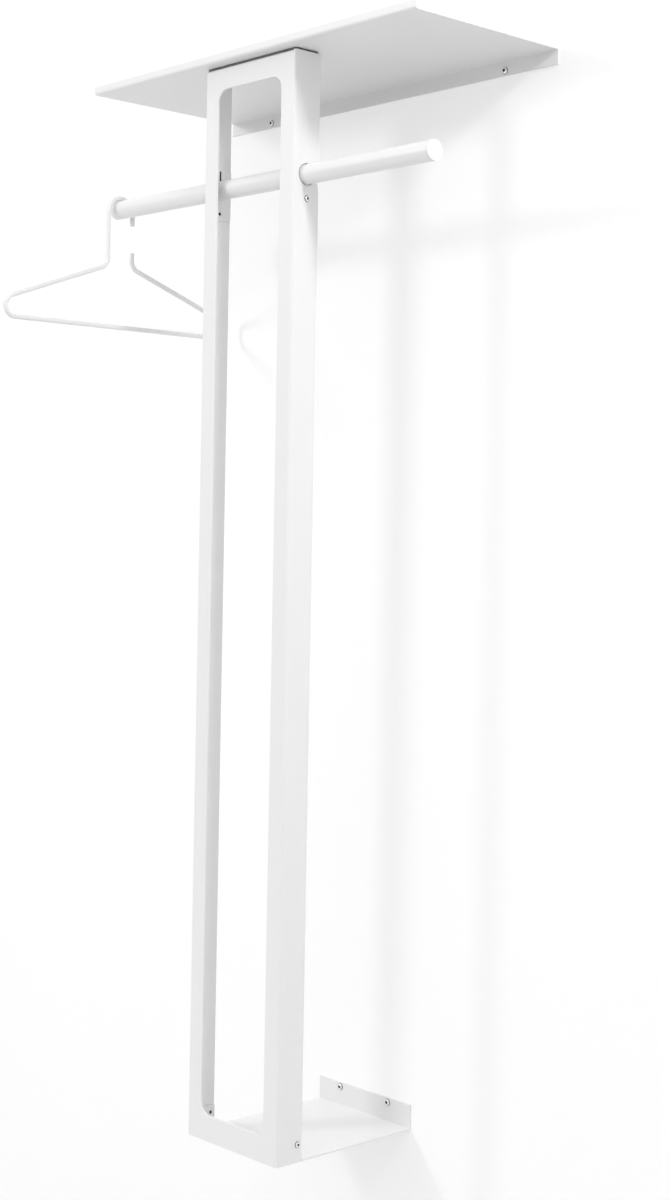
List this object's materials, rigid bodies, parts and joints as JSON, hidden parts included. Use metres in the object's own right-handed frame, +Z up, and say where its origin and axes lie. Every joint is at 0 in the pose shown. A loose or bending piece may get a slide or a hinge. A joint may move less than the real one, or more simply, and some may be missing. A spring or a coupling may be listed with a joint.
{
  "type": "wall coat rack",
  "caption": "Narrow sheet-steel wall coat rack with a hat shelf, a round clothes rod through a tall window frame, a foot bracket and an open wire hanger.",
  "frame": {"origin": "on the wall, midway between the two upper wall screws, in the rear face of the shelf's wall flange", "axes": "+X to the right along the wall, +Y into the wall, +Z up; the frame's front faces -Y"},
  "size_m": [0.75, 0.515, 1.667],
  "materials": {
    "coated_shelf": "white powder coat, fine satin texture",
    "coated_frame": "white powder coat, fine satin texture",
    "coated_foot": "white powder coat, fine satin texture",
    "coated_rod": "white powder coat, smooth satin",
    "coated_bracket": "white powder coat, fine satin texture",
    "coated_wire": "white powder coat, smooth satin",
    "white_cap": "white moulded plastic, matt",
    "grey_strip": "dark grey rubber, matt",
    "dark_strip": "black rubber, matt",
    "bright_steel": "bright plated steel, dark inside the hexagon recess",
    "zinc_steel": "zinc plated steel"
  },
  "bodies": {
    "rack": {"shelf": "coated_shelf", "spacer": "grey_strip", "shelf_studs": "zinc_steel", "shelf_nuts": "zinc_steel", "frame": "coated_frame", "foot_bracket": "coated_foot", "rod": "coated_rod", "rod_cap_left": "white_cap", "rod_cap_right": "white_cap", "rod_bracket_left": "coated_bracket", "rod_bracket_right": "coated_bracket", "rod_keys": "dark_strip", "bracket_screws": "bright_steel", "foot_side_screws": "bright_steel", "shelf_wall_screws": "bright_steel", "foot_wall_screws": "bright_steel"},
    "hanger": {"hanger": "coated_wire"}
  },
  "joints": [
    {"name": "hanger_slide", "type": "slide", "parent": "rack", "child": "hanger", "axis": [1, 0, 0], "range_m": [-0.004, 0.25]}
  ]
}
